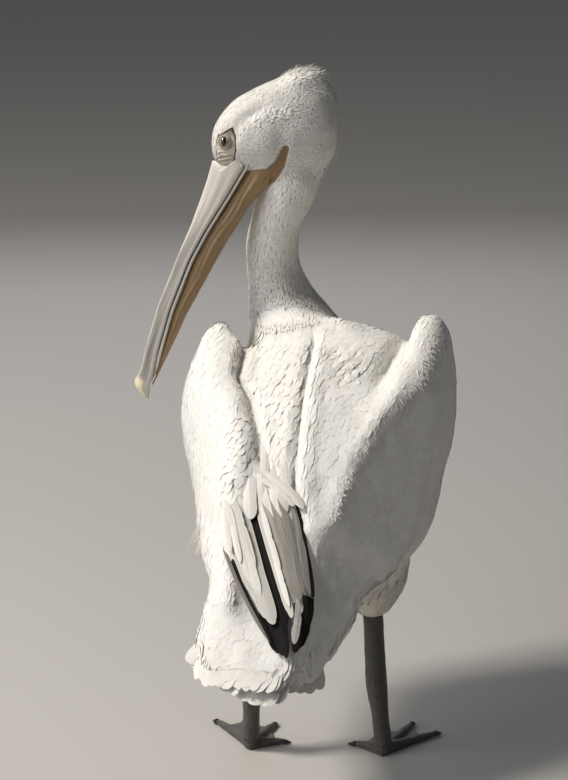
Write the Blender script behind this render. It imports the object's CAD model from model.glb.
import math

import bmesh
import bpy
import numpy as np
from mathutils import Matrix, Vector
from mathutils.bvhtree import BVHTree
from mathutils.kdtree import KDTree


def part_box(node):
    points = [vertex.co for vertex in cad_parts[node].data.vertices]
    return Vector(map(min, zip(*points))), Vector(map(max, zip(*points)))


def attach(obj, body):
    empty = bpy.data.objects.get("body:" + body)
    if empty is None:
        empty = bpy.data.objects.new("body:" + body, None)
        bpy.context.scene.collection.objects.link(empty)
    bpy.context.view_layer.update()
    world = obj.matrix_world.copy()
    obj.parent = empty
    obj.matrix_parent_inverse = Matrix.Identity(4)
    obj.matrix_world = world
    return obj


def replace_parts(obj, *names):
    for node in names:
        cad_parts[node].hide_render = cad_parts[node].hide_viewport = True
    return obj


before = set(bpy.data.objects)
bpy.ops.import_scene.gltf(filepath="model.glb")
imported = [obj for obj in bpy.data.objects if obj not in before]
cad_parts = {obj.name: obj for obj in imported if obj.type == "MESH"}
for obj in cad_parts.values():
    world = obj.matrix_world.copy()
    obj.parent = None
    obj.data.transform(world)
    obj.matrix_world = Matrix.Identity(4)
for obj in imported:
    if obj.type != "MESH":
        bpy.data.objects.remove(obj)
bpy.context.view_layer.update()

# ------------------------------------------------------------------------------------------------
# The studio. A plain pale floor that ends out of sight, a soft key light high on the bird's left,
# two weak fills, and a camera with a long focal length behind the bird and a little above it.
# ------------------------------------------------------------------------------------------------
scene = bpy.context.scene


def colour(code):
    """An sRGB hex code as linear RGBA: c / 12.92 up to 0.04045, and ((c + 0.055) / 1.055) ** 2.4 above it."""
    shares = [int(code[i : i + 2], 16) / 255 for i in (1, 3, 5)]
    return [c / 12.92 if c <= 0.04045 else ((c + 0.055) / 1.055) ** 2.4 for c in shares] + [1.0]


def add(tree, kind, inputs=None, **settings):
    """Adds a shader node, sets its properties, and gives each input named a value or another node's output."""
    made = tree.nodes.new("ShaderNode" + kind)
    for name, value in settings.items():
        setattr(made, name, value)
    for socket, value in (inputs or {}).items():
        if isinstance(value, bpy.types.NodeSocket):
            tree.links.new(value, made.inputs[socket])
        else:
            made.inputs[socket].default_value = value
    return made


def finish(name, roughness, ior=1.5, **more):
    """A new Principled material, its node tree and its shader. Names in more are sockets, _ for a space."""
    made = bpy.data.materials.new(name)
    made.use_nodes = True
    shader = made.node_tree.nodes["Principled BSDF"]
    for socket, value in dict(more, Roughness=roughness, IOR=ior).items():
        shader.inputs[socket.replace("_", " ")].default_value = value
    return made, made.node_tree, shader


def painted(tree, shader, paint, height=None, strength=0.5, depth=0.001):
    """Gives a shader its paint, a hex code or an output, and if a height is given, a relief of that depth."""
    if isinstance(paint, str):
        shader.inputs["Base Color"].default_value = colour(paint)
    else:
        tree.links.new(paint, shader.inputs["Base Color"])
    if height is not None:
        relief = add(tree, "Bump", {"Height": height, "Strength": strength, "Distance": depth})
        tree.links.new(relief.outputs[0], shader.inputs["Normal"])


def softbox(name, place, size, watts, tint):
    """A square area light at place, aimed at the middle of the bird."""
    lamp = bpy.data.lights.new(name, "AREA")
    lamp.size = size
    lamp.energy = watts
    lamp.color = colour(tint)[:3]
    holder = bpy.data.objects.new(name, lamp)
    holder.location = place
    holder.rotation_euler = (target - Vector(place)).to_track_quat("-Z", "Y").to_euler()
    scene.collection.objects.link(holder)


target = Vector((0.0045, -0.1020, 0.5666))  # the point the camera and the lights look at
AZIMUTH, ELEVATION, DISTANCE = math.radians(190), math.radians(15), 4.5  # of the camera, from the target
level_reach = math.cos(ELEVATION)
outward = Vector((math.sin(AZIMUTH) * level_reach, -math.cos(AZIMUTH) * level_reach, math.sin(ELEVATION)))
camera = bpy.data.objects.new("camera", bpy.data.cameras.new("camera"))
camera.location = target + outward * DISTANCE
camera.rotation_euler = (-outward).to_track_quat("-Z", "Y").to_euler()
camera.data.lens = 135
camera.data.sensor_fit = "VERTICAL"
camera.data.sensor_height = 36
scene.collection.objects.link(camera)
scene.camera = camera
softbox("key", (2.40, 0.85, 3.75), 0.9, 162.0, "#fff9f1")
softbox("fill", (2.8, 2.4, 1.7), 2.5, 57.0, "#f4f6ff")
softbox("front", (0.8, -3.2, 2.0), 2.5, 22.0, "#f4f6ff")
world = bpy.data.worlds.new("studio")
world.use_nodes = True
world.node_tree.nodes["Background"].inputs["Color"].default_value = colour("#b9bcc2")
world.node_tree.nodes["Background"].inputs["Strength"].default_value = 0.22
scene.world = world
scene.view_settings.view_transform = "Standard"

# Matt paper: no shine, and a grain too fine to see as marks, which keeps the floor from looking like glass.
paper, tree, shader = finish("matt studio paper", 0.9)
grain = add(tree, "TexNoise", {"Vector": add(tree, "TexCoord").outputs["Object"], "Scale": 400.0})
painted(tree, shader, "#bdbab4", grain.outputs["Fac"], 0.05)
floor_mesh = bpy.data.meshes.new("floor")
floor_mesh.from_pydata([(-9, -14, 0), (9, -14, 0), (9, 7, 0), (-9, 7, 0)], [], [(0, 1, 2, 3)])
floor_mesh.materials.append(paper)
floor = bpy.data.objects.new("floor", floor_mesh)
scene.collection.objects.link(floor)

# ------------------------------------------------------------------------------------------------
# The skin. One closed surface over trunk, wings, thighs, neck and head: the bird as it would be
# under its feathers. It is the outer shape of the flesh, rounded into one, drawn in by the coat.
# ------------------------------------------------------------------------------------------------
NECK = ("neck_lower", "neck_middle", "neck_upper")
FLESH = ("trunk", "wing_left", "wing_right", "thigh_left", "thigh_right", *NECK, "head")
COVERED = FLESH + ("wing_tip_right", "crest", "tail")  # the coat also runs on over these
TAIL_FOOT = 0.428  # how far along the trunk the coat goes over the tail
OVERLAP = 0.0006  # how far copies are grown so that the fitting gaps between them close
SLOPE = math.radians(35)  # the trunk's axis falls this much towards the tail
TAILWARD = np.array([0.0, math.cos(SLOPE), -math.sin(SLOPE)])
BACKWARD_UP = np.array([0.0, math.sin(SLOPE), math.cos(SLOPE)])
LEFT = np.array([1.0, 0.0, 0.0])
UP = np.array([0.0, 0.0, 1.0])
BODY_AXES = np.array([TAILWARD, LEFT, BACKWARD_UP])
rng = np.random.default_rng(7)


def middle(node):
    """The centre of a node's box."""
    low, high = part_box(node)
    return np.array(low + high) / 2


body = middle("trunk") + (-0.0015, -0.010, 0.006)  # the trunk's own centre
eyes = {"left": middle("eye_left"), "right": middle("eye_right")}
HEAD_LEFT = (eyes["left"] - eyes["right"]) * (1, 1, 0)
HEAD_LEFT /= np.linalg.norm(HEAD_LEFT)
FACE = np.cross(HEAD_LEFT, UP)
skull = (eyes["left"] + eyes["right"]) / 2 - 0.091 * FACE + 0.012 * UP  # between the ears


def in_body(place):
    """Places as (along the trunk, to its left, up off its axis), from the trunk's centre."""
    return (place - body) @ BODY_AXES.T


def from_body(flat):
    """The places that have these (along, left, up)."""
    return body + flat @ BODY_AXES


def in_head(place):
    """Places as (towards the bill, up, to the head's left), from between the ears."""
    return (place - skull) @ np.array([FACE, UP, HEAD_LEFT]).T


def step(low, high, value):
    """0 at low, 1 at high, 3 t**2 - 2 t**3 between them, level beyond. low may be the greater of the two."""
    t = np.clip((value - low) / (high - low), 0.0, 1.0)
    return t * t * (3 - 2 * t)


def bell(distance, width):
    """exp(-(distance / width)**2)."""
    return np.exp(-((distance / width) ** 2))


def unit(vectors):
    """Vectors divided by their lengths."""
    return vectors / np.maximum(np.linalg.norm(vectors, axis=-1, keepdims=True), 1e-12)


def noise(place, seed):
    """Smooth noise from -1 to 1: random values at whole-number corners, blended with 3 t**2 - 2 t**3."""
    corner = np.floor(place).astype(np.int64)
    t = place - corner
    t = t * t * (3 - 2 * t)
    total = 0.0
    for offset in np.ndindex(2, 2, 2):
        x, y, z = (corner + offset).T  # hashed by large primes
        mixed = (x * 73856093) ^ (y * 19349663) ^ (z * 83492791) ^ (seed * 2654435761)
        mixed = (mixed ^ (mixed >> 13)) * 1274126177 & 0xFFFFFF
        weight = np.prod(np.where(offset, t, 1 - t), axis=1)
        total = total + weight * (mixed / 0x7FFFFF - 1)
    return total


def mm(rows):
    """Rows of millimetres as an array in metres."""
    return np.array(rows, float) / 1000


def values_of(items, name, width=1, kind=np.float32):
    """One property of each of a mesh's items as an array, with width columns where it has more than one."""
    values = np.empty(len(items) * width, kind)
    items.foreach_get(name, values)
    return values.reshape(-1, width) if width > 1 else values


def points_of(mesh):
    """(vertex places, vertex normals) of a mesh as arrays."""
    place, normal = values_of(mesh.vertices, "co", 3), values_of(mesh.vertex_normals, "vector", 3)
    return place.astype(float), normal.astype(float)


def move_to(mesh, place):
    """Puts each vertex of a mesh at its new place."""
    mesh.vertices.foreach_set("co", np.asarray(place, np.float32).ravel())
    mesh.update()


def mark(mesh, **values):
    """Gives each vertex of a mesh its value under each of these names, for the finish to use."""
    for name, value in values.items():
        layer = mesh.attributes.new(name, "FLOAT", "POINT")
        layer.data.foreach_set("value", np.asarray(value, np.float32).ravel())


def opened(mesh, work):
    """Opens a mesh for editing, does work on it and writes it back."""
    shape = bmesh.new()
    shape.from_mesh(mesh)
    work(shape)
    shape.to_mesh(mesh)
    shape.free()


def copies(names, grow):
    """One mesh of copies of these nodes, their doubles merged and each vertex moved out by grow along its
    normal. Each face's material number is its node's place in names."""
    shape = bmesh.new()
    for number, name in enumerate(names):
        before = len(shape.faces)
        shape.from_mesh(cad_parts[name].data)
        shape.faces.ensure_lookup_table()
        for face in shape.faces[before:]:
            face.material_index = number
    bmesh.ops.remove_doubles(shape, verts=shape.verts[:], dist=1e-6)
    shape.normal_update()
    for vertex in shape.verts:
        vertex.co += vertex.normal * grow
    mesh = bpy.data.meshes.new("copies")
    shape.to_mesh(mesh)
    shape.free()
    return mesh


def evened(mesh, voxel, smooth):
    """The mesh rebuilt as one closed skin of even squares of side voxel, then relaxed smooth times."""
    holder = bpy.data.objects.new("holder", mesh)
    scene.collection.objects.link(holder)
    remesh = holder.modifiers.new("one skin", "REMESH")
    remesh.mode = "VOXEL"
    remesh.voxel_size = voxel
    relax = holder.modifiers.new("relax", "SMOOTH")
    relax.factor = 0.5
    relax.iterations = smooth
    bpy.context.view_layer.update()
    made = bpy.data.meshes.new_from_object(holder.evaluated_get(bpy.context.evaluated_depsgraph_get()))
    bpy.data.objects.remove(holder)
    return made


def quads_of(index, turned):
    """Faces between each row of vertex numbers and the next, from each column to the one it is turned onto."""
    return np.stack([index[:-1], turned[:-1], turned[1:], index[1:]], axis=-1).reshape(-1, 4)


def plump(mesh, path):
    """Adds a closed pad to a mesh: an ellipse carried along a path in the trunk's frame, as many points round as
    rings along. Its half-sizes are drawn in at both ends by sqrt(1 - 0.98 u**6), with u from -1 to 1."""
    rings = 24
    at, fine = np.arange(len(path)), np.linspace(0, len(path) - 1, rings)
    *centre, wide, tall = (np.interp(fine, at, column) for column in mm(path).T)
    round_end = np.sqrt(1 - 0.98 * np.abs(np.linspace(-1, 1, rings)) ** 6)
    size = np.stack([0 * wide, wide * round_end, tall * round_end], axis=1)
    turn = np.linspace(0, 2 * math.pi, rings + 1)[:-1]
    ring = np.stack([0 * turn, np.cos(turn), np.sin(turn)], axis=1)
    grid = from_body(np.stack(centre, axis=1)[:, None] + ring * size[:, None])
    index = np.arange(rings * rings).reshape(rings, rings)
    quads = quads_of(index, np.roll(index, -1, axis=1))[:, [0, 3, 2, 1]].tolist()
    pad = bpy.data.meshes.new("pad")
    pad.from_pydata(grid.reshape(-1, 3).tolist(), [], quads + [index[0].tolist(), index[-1, ::-1].tolist()])
    opened(mesh, lambda shape: shape.from_mesh(pad))


def filled(names, voxel, reach, smooth, pads=()):
    """Fills clefts narrower than twice reach: the surface moves out by reach, becomes one skin and moves back.
    What lies beyond the tail's foot is first pressed flat onto it."""
    mesh = copies(names, OVERLAP)
    for pad in pads:
        plump(mesh, pad)
    place = points_of(mesh)[0]
    along = in_body(place)[:, :1]
    move_to(mesh, place - np.maximum(along - TAIL_FOOT, 0) * (along > TAIL_FOOT) * TAILWARD)
    for way in (1, -1):
        mesh = evened(mesh, voxel, 2)
        place, normal = points_of(mesh)
        move_to(mesh, place + way * reach * normal)
    return evened(mesh, voxel, smooth)


def tree_of(mesh):
    """A search tree over a mesh's faces."""
    return BVHTree.FromPolygons([v.co[:] for v in mesh.vertices], [p.vertices[:] for p in mesh.polygons])


def near_curve(flat, curve):
    """(distance, share of the way along) from each 2-D point to a chain of straight pieces."""
    best, share = np.full(len(flat), 9.0), np.zeros(len(flat))
    for number, (start, end) in enumerate(zip(curve[:-1], curve[1:])):
        t = np.clip((flat - start) @ (end - start) / ((end - start) @ (end - start)), 0, 1)
        away = np.linalg.norm(flat - start - t[:, None] * (end - start), axis=1)
        share = np.where(away < best, (number + t) / (len(curve) - 1), share)
        best = np.minimum(best, away)
    return best, share


def edges_of(mesh):
    """The two vertex numbers of each edge of a mesh."""
    return values_of(mesh.edges, "vertices", 2, np.int32)


def relaxed(values, ends, times):
    """Each vertex's values moved half way to the mean of its neighbours', times over."""
    count = len(values)
    near = np.maximum(np.bincount(ends.ravel(), minlength=count), 1)[:, None]
    for _ in range(times):
        total = np.zeros_like(values)
        for column in range(values.shape[1]):
            total[:, column] = np.bincount(ends[:, 0], values[ends[:, 1], column], count)
            total[:, column] += np.bincount(ends[:, 1], values[ends[:, 0], column], count)
        values = 0.5 * values + 0.5 * total / near
    return values


def around(centre, width):
    """A bell of this width round a place given in the trunk's frame, at each point of the surface."""
    return bell(np.linalg.norm(in_body(place) - centre, axis=1), width)


# Pads of feathers in millimetres, each a path of (along, left, up, half-width, half-height): the left side of
# the rump, its right side, the left wing's wrist, and the top of the rump.
PADS = (
    [
        (120, 122, 36, 30, 32), (200, 114, 38, 32, 28), (270, 96, 36, 28, 24),
        (330, 100, 32, 30, 14), (410, 106, 38, 28, 5),
    ],
    [
        (150, -85, 44, 36, 30), (240, -78, 44, 36, 28), (310, -76, 42, 34, 24),
        (370, -62, 36, 24, 14), (400, -54, 34, 18, 8),
    ],
    [(-224, 167, 78, 22, 20), (-195, 165, 85, 27, 20), (-160, 163, 89, 28, 20), (-120, 160, 88, 24, 16)],
    [
        (180, 40, 40, 50, 24), (260, 45, 36, 70, 20), (330, 36, 34, 84, 16),
        (370, 30, 40, 90, 10), (428, 27, 45, 86, 3),
    ],
)
COAT_SQUARE = 0.005  # the side of the squares the outer surface is made of
outer = filled(COVERED, COAT_SQUARE, 0.012, 6, PADS)
place, normal = points_of(outer)

# The folded wings stand a little off the body: the left one round and full at the wrist with a notch
# between it and the neck, the right one with its own notch beside the full dome of the back.
along, left, up = in_body(place).T
fuller_wrist = 0.017 * bell(along + 0.09, 0.085) * step(0.12, 0.175, left)
notch_edge = left - 0.137 + 0.4 * (along + 0.176)
notch = 0.062 * step(0.116, 0.130, left) * step(0.008, -0.008, notch_edge) * step(-0.170, -0.190, along)
notch = notch * step(-0.065, 0.045, up) * step(0.70, 0.66, place[:, 2]) * step(-0.370, -0.300, along)
valley = 0.022 * bell(left + 0.095, 0.040) * step(-0.09, -0.17, along) * step(0.0, 0.04, up)
high_dome = 0.011 * bell(left + 0.062, 0.038) * bell(along + 0.21, 0.070) * step(0.0, 0.04, up)
right_wrist = around((-0.235, -0.165, 0.075), 0.060)
slim = 0.009 * bell(place[:, 2] - 0.43, 0.05) * step(-0.15, -0.19, left)
waist = 0.016 * bell(along - 0.8 * (up - 0.05) - 0.268, 0.026) * step(0.07, 0.12, left)
place = place + (fuller_wrist - valley - 0.004 * right_wrist + slim - waist)[:, None] * LEFT
left_wrist = around((-0.258, 0.165, 0.080), 0.042)
collar = 0.014 * bell(along + 0.206, 0.026) * step(0.115, 0.095, left) * step(-0.06, -0.02, left)
collar = collar * step(0.0, 0.05, up)
place = place + (high_dome + collar - notch + 0.009 * right_wrist - 0.014 * left_wrist)[:, None] * UP
move_to(outer, place)
outer = evened(outer, COAT_SQUARE, 2)
place, normal = points_of(outer)
worn = np.maximum(around((-0.235, 0.165, 0.085), 0.045), around((-0.260, 0.118, 0.030), 0.055))
place += np.minimum(1.4 * worn, 1)[:, None] * (relaxed(place, edges_of(outer), 14) - place)
move_to(outer, place)
place, normal = points_of(outer)

# The back and the right wing fill out into one dome, from behind the wrist to the rump. A second surface,
# whose wider clefts are filled too, says how far.
fuller = tree_of(filled(COVERED, 0.008, 0.045, 8, PADS))
along, left, up = in_body(place).T
dome = step(-0.16, -0.06, along) * step(0.012, -0.012, left) * step(-0.02, 0.03, up)
dome = np.maximum(dome, 0.9 * step(0.20, 0.27, along) * step(-0.02, 0.03, up))
dome = np.maximum(dome, 0.35 * step(-0.2, -0.1, along) * step(0.03, 0.06, up) * step(0.02, -0.01, left))
gain = np.zeros(len(place))
for i in np.flatnonzero(dome > 0.01):
    hit = fuller.ray_cast(place[i] + 1e-4 * normal[i], normal[i], 0.06)
    gain[i] = hit[3] if hit[0] is not None else 0.0
place = place + relaxed((dome * gain)[:, None], edges_of(outer), 8) * normal
move_to(outer, place)

# Right of a crest running from the wrist to the tail, the folded right wing falls away as one plane. All that
# stands above it moves forward and down, on the way AWAY, so that its rim stays in place as seen from behind.
CREST = mm([
    (-100, -150, 116), (-60, -128, 118), (-20, -108, 116), (30, -86, 112), (80, -69, 105),
    (120, -58, 98), (165, -48, 89), (200, -30, 79), (240, -24, 73), (300, -28, 71),
    (360, -22, 61), (420, -12, 47), (480, -8, 38),
])
AWAY = in_body(body - outward)  # straight away from behind the bird, in the trunk's frame
FALL = 1.15  # how steeply the plane falls to the right


def above_roof(place):
    """How far places in the trunk's frame lie above the plane: up less the crest's height, plus FALL times the
    distance to the crest's right."""
    crest_left, crest_up = (np.interp(place[:, 0], CREST[:, 0], CREST[:, k]) for k in (1, 2))
    return place[:, 2] - crest_up + FALL * (crest_left - place[:, 1])


def to_roof(place):
    """How far along AWAY each place has to go to come down to the plane, by six Newton steps: height / 1.26, the
    height lost per metre. (reach + sqrt(reach**2 + 0.007**2)) / 2 then eases it to 0 where it would go back."""
    reach = np.zeros(len(place))
    for _ in range(6):
        reach = reach + above_roof(place + reach[:, None] * AWAY) / 1.26
    return 0.5 * (reach + np.sqrt(reach**2 + 0.007**2)) - 0.0012


outermost = tree_of(outer)
flat = in_body(place)
chosen = np.flatnonzero((flat[:, 0] > -0.12) & (flat[:, 1] < 0.02) & (flat[:, 2] > -0.13))
top_place = place[chosen].copy()
for number, point in enumerate(place[chosen]):
    hit = outermost.ray_cast(Vector(point + 0.6 * outward), Vector(-outward), 0.6)
    if hit[0] is not None:
        top_place[number] = hit[0]
top_flat = in_body(top_place)
fade = step(-0.11, -0.05, top_flat[:, 0]) * step(-0.13, -0.01, flat[chosen, 2])
fade = fade * step(0.01, -0.02, top_flat[:, 1])
place[chosen] -= (fade * np.maximum(to_roof(top_flat), 0))[:, None] * np.array(outward)
move_to(outer, place)
outer = evened(outer, 0.0055, 4)
place, normal = points_of(outer)

# Clefts of the back, in the trunk's own (along, left): down the spine, between the left wing and the back, and
# beside the right wrist. Each has a depth and a width.
SPINE = mm([(-200, 20), (-160, 18), (-45, 16), (77, 11), (125, 8), (170, -8)])
INNER = mm([(-220, 118), (-174, 124), (-90, 122), (-51, 98), (69, 62), (120, 40)])
VALLEY = mm([(-260, -120), (-178, -110), (-98, -94), (-53, -85)])
along, left, up = in_body(place).T
flat = np.stack([along, left], axis=1)
top = step(0.02, 0.06, up)
away, share = near_curve(flat, SPINE)
groove = -0.0075 * bell(away, 0.0060) * step(0.0, 0.25, share) * top
groove += 0.0045 * bell(away - 0.018, 0.014) * (left < 0.012) * step(0.05, 0.4, share) * top
away, share = near_curve(flat, INNER)
groove += -0.011 * bell(away, 0.0075) * step(0.0, 0.15, share) * (1 - step(0.9, 1.0, share)) * top
away, share = near_curve(flat, VALLEY)
groove += -0.015 * bell(away, 0.010) * (1 - step(0.4, 1.0, share)) * top


def furrows(across, apart, depth, sharp, patch, gaps):
    """Cuts of this depth apart from each other, (1 - |sin(pi across / apart)|) ** sharp, broken by gaps."""
    return -depth * (1 - np.abs(np.sin(across * math.pi / apart))) ** sharp * patch * step(-0.2, 0.5, gaps)


# Slanting furrows on the right shoulder, and short upright ones left of the spine.
slanting = (flat @ np.array([-0.42, 0.90])) + 0.004 * noise(place * 40, 3)
patch = bell(along + 0.115, 0.055) * bell(left + 0.045, 0.036) * top
groove += furrows(slanting, 0.0150, 0.0052, 1.3, patch, noise(place * 45, 4) + 0.25)
patch = bell(along + 0.085, 0.055) * bell(left - 0.045, 0.026) * top
upright = left + 0.004 * noise(place * 45, 5)
groove += furrows(upright, 0.0120, 0.0028, 1.5, patch, noise(place * 50, 6) + 0.2)
# The left wing's coverts lie in loose lumps towards their inner rear edge.
patch = step(0.05, 0.08, left) * step(0.150, 0.115, left) * step(-0.08, 0.0, along) * step(0.16, 0.10, along)
groove += 0.0034 * (patch * step(0.0, 0.05, up)) * noise(place * (44, 26, 30), 8)
groove += 0.0012 * noise(place * 45, 9)
move_to(outer, place + groove[:, None] * normal)

# The head is made of finer squares, and finest where it is bare: round the eye, inside ORBIT, and along the
# jaw, a strip round JAW with its own half-width at each point. A hollow runs along BROW. All three are in
# (towards the bill, up) on the head.
ORBIT = mm([
    (81.5, 10.5), (104, -4), (107.5, -20), (105, -43), (95.5, -68), (78.5, -44), (75, -22), (76.2, -2),
])
JAW = mm([(-0.4, -20.5), (8.9, -46.7), (24, -65.3), (42, -74.2), (62, -84)])
JAW_HALF = mm([5.8, 9.0, 12.7, 18.5, 21.5])
BROW = mm([(76.4, 4), (70, 16.5), (56, 29), (35, 43), (8, 50)])
WRINKLE = 0.0068  # from one wrinkle below the eye to the next


def inside(flat, corners):
    """Distance of each 2-D point inside a convex outline of corners listed clockwise: negative outside."""
    edge = unit(np.roll(corners, -1, axis=0) - corners)
    inward = np.stack([edge[:, 1], -edge[:, 0]], axis=1)
    return np.min(np.einsum("pcd,cd->pc", flat[:, None] - corners, inward), axis=1)


def bare_parts(place):
    """(depth inside the skin round the eye, depth inside the bare jaw) of each place, in metres."""
    forward, height, side = in_head(place).T
    flat = np.stack([forward, height], axis=1)
    away, share = near_curve(flat, JAW)
    jaw = np.interp(share, np.linspace(0, 1, len(JAW)), JAW_HALF) - away
    near = np.abs(forward) + np.abs(height) + np.abs(side) < 0.25
    return np.where(near, inside(flat, ORBIT), -1.0), np.where(near, jaw, -1.0)


def split_faces(mesh, chosen):
    """Splits each chosen face into four."""

    def split(shape):
        """Cuts every edge of the chosen faces in two."""
        shape.faces.ensure_lookup_table()
        edges = list({edge for number in chosen for edge in shape.faces[int(number)].edges})
        bmesh.ops.subdivide_edges(shape, edges=edges, cuts=1, use_grid_fill=True)

    opened(mesh, split)


for level in range(3):
    centre = np.array([p.center[:] for p in outer.polygons])
    forward, height, side = in_head(centre).T
    if level == 0:
        chosen = (np.hypot(forward, height) < 0.135) & (height > -0.10) & (np.abs(side) < 0.07)
    else:
        chosen = np.maximum(*bare_parts(centre)) > -0.006 / level
        chosen &= (forward > -0.01) & (np.abs(side) < 0.06)
    split_faces(outer, np.flatnonzero(chosen))

# Relief of the head: a hollow under the brow, a full cheek, sunk bare skin, and wrinkles below the eye.
ends = edges_of(outer)
place, normal = points_of(outer)
forward, height, side = in_head(place).T
on_head = step(0.15, 0.12, np.hypot(forward, height)) * step(-0.12, -0.09, height)
place += on_head[:, None] * (relaxed(place, ends, 4) - place)
move_to(outer, place)
place, normal = points_of(outer)
forward, height, side = in_head(place).T
flank = step(0.010, 0.022, np.abs(side)) * on_head
orbit, jaw = bare_parts(place)
away, share = near_curve(np.stack([forward, height], axis=1), BROW)
shaping = -0.0030 * bell(away, 0.0085) * (1 - step(0.6, 1.0, share)) * flank
cheek = bell(forward - 0.036, 0.032) * bell(height + 0.014, 0.036)
shaping += 0.0036 * cheek * flank * step(0.0800, 0.0660, forward)
shaping += -0.0018 * step(-0.0015, 0.0015, orbit) * flank
shaping += -0.0028 * step(-0.0020, 0.0020, jaw) * flank
wrinkles = np.sin((height + 0.25 * (forward - 0.09)) * 2 * math.pi / WRINKLE + 2.2 * noise(place * 130, 12))
shaping += 0.0011 * wrinkles * step(0.0, 0.003, orbit) * step(-0.024, -0.030, height) * flank
move_to(outer, place + shaping[:, None] * normal)
bpy.context.view_layer.update()
coat_place, coat_normal = points_of(outer)

# Which part of the bird each point of the coat belongs to, blended where two parts meet.
parts = copies(FLESH, 0.0)
owner_of_face = np.array([p.material_index for p in parts.polygons])
search = tree_of(parts)
owner = owner_of_face[[search.find_nearest(p)[2] for p in coat_place]]
share_of = relaxed(np.eye(len(FLESH))[owner], ends, 12)
foremost = share_of.argmax(axis=1)
part = {name: share_of[:, number] for number, name in enumerate(FLESH)}
whole = {name: (foremost == number) * 1.0 for number, name in enumerate(FLESH)}
wing = part["wing_left"] + part["wing_right"]
thigh = part["thigh_left"] + part["thigh_right"]
neck = part["neck_lower"] + part["neck_middle"] + part["neck_upper"]
whole_neck = sum(whole[name] for name in NECK)
whole_thigh = whole["thigh_left"] + whole["thigh_right"]

# The lie of the coat: from the bill back over the head, down the neck, and tailward over the body.
forward, height, side = in_head(coat_place).T
base_of_bill = skull + 0.125 * FACE - 0.050 * UP
over_head = unit(coat_place - base_of_bill) - 0.9 * step(0.0, -0.05, forward)[:, None] * UP
axis = np.array([skull, *(middle(name) for name in reversed(NECK)), body + 0.12 * BACKWARD_UP])
run = unit(np.gradient(axis, axis=0))
down_neck = np.stack([np.interp(-coat_place[:, 2], -axis[:, 2], run[:, k]) for k in range(3)], axis=1)
lie = part["head"][:, None] * over_head + neck[:, None] * down_neck
lie += (part["trunk"] + wing)[:, None] * TAILWARD + thigh[:, None] * np.array([0.0, 0.15, -1.0])


def laid(ways, normals):
    """Ways laid flat on a surface: each less its share along the normal."""
    return ways - (ways * normals).sum(axis=1)[:, None] * normals


for _ in range(3):
    lie = unit(relaxed(unit(laid(lie, coat_normal)), ends, 8))
lie = unit(laid(lie, coat_normal))

# The depth of the coat: little on the head, most on the body, and next to none on bare skin.
orbit, jaw = bare_parts(coat_place)
flank = step(0.008, 0.014, np.abs(side))
around_eye = step(-0.0006, 0.0006, orbit) * flank
on_jaw = step(-0.0006, 0.0006, jaw) * np.where(height > -0.075, flank, 1.0)
bare = np.maximum(around_eye, on_jaw)
depth = 0.0014 * part["head"] + 0.0020 * neck + 0.0030 * (part["trunk"] + wing) + 0.0030 * thigh
depth = depth * (1 - bare) + 0.0002

# The skin is split into triangles and unwrapped by its own shape, so that each feather knows its root. Dark
# lines on it follow the edge of the bare skin round the eye, the brow, and the wrinkles below.
skin_mesh = outer.copy()
skin_mesh.name = "skin"
move_to(skin_mesh, coat_place - depth[:, None] * coat_normal)
rim_width = 0.0014 + 0.0018 * step(-0.014, 0.0, height)
rim = np.where(orbit > -0.001, bell(orbit - 0.0004, rim_width), 0.0) * step(-0.062, -0.05, height) * flank
under_brow = 0.60 * around_eye * step(-0.008, 0.000, height)
wave = np.sin((height + 0.25 * (forward - 0.09)) * 2 * math.pi / WRINKLE)
wrinkled = 0.45 * around_eye * (0.5 - 0.5 * wave) * step(-0.028, -0.036, height)
dark_line = np.maximum(np.maximum(rim, under_brow), wrinkled)
mark(skin_mesh, around_eye=around_eye, on_jaw=on_jaw, dark_line=dark_line, on_thigh=whole_thigh)
opened(skin_mesh, lambda shape: bmesh.ops.triangulate(shape, faces=shape.faces[:]))
skin_mesh.shade_smooth()
skin = bpy.data.objects.new("skin", skin_mesh)
scene.collection.objects.link(skin)
bpy.context.view_layer.objects.active = skin
skin.select_set(True)
skin_mesh.uv_layers.new(name="OFBake")
bpy.ops.object.mode_set(mode="EDIT")
bpy.ops.mesh.select_all(action="SELECT")
bpy.ops.uv.smart_project(angle_limit=1.15, island_margin=0.004, scale_to_bounds=True)
bpy.ops.object.mode_set(mode="OBJECT")
skin_mesh = skin.data
corner = values_of(skin_mesh.loops, "vertex_index", 1, np.int32).reshape(-1, 3)
unwrapped = values_of(skin_mesh.uv_layers["OFBake"].uv, "vector", 2).reshape(-1, 3, 2)


def attribute(tree, name):
    """The value that each point of a mesh carries under this name."""
    return add(tree, "Attribute", attribute_name=name).outputs["Fac"]


def blend(tree, share, under, over):
    """Two paints mixed, under at share 0 and over at share 1. A paint is a hex code or a node's output."""
    under, over = (colour(paint) if isinstance(paint, str) else paint for paint in (under, over))
    return add(tree, "Mix", {0: share, 6: under, 7: over}, data_type="RGBA").outputs[2]


def ramp(tree, value, low, high, full=1.0):
    """0 where value is at low, full where it is at high, straight between them and level beyond."""
    limits = {"Value": value, "From Min": low, "From Max": high, "To Max": full}
    return add(tree, "MapRange", limits).outputs[0]


# Down over skin: matt warm white that closes the gaps between feathers, and grey-brown where the skin is bare.
down, tree, shader = finish("white down over skin", 0.9)
paint = blend(tree, attribute(tree, "on_thigh"), "#e4e0d8", "#d6d0c5")
for where, tint in (("around_eye", "#cbc2b4"), ("dark_line", "#564a3f"), ("on_jaw", "#8c7052")):
    paint = blend(tree, attribute(tree, where), paint, tint)
painted(tree, shader, paint)
skin_mesh.materials.clear()
skin_mesh.materials.append(down)
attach(skin, "root")
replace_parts(skin, *FLESH)

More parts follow.
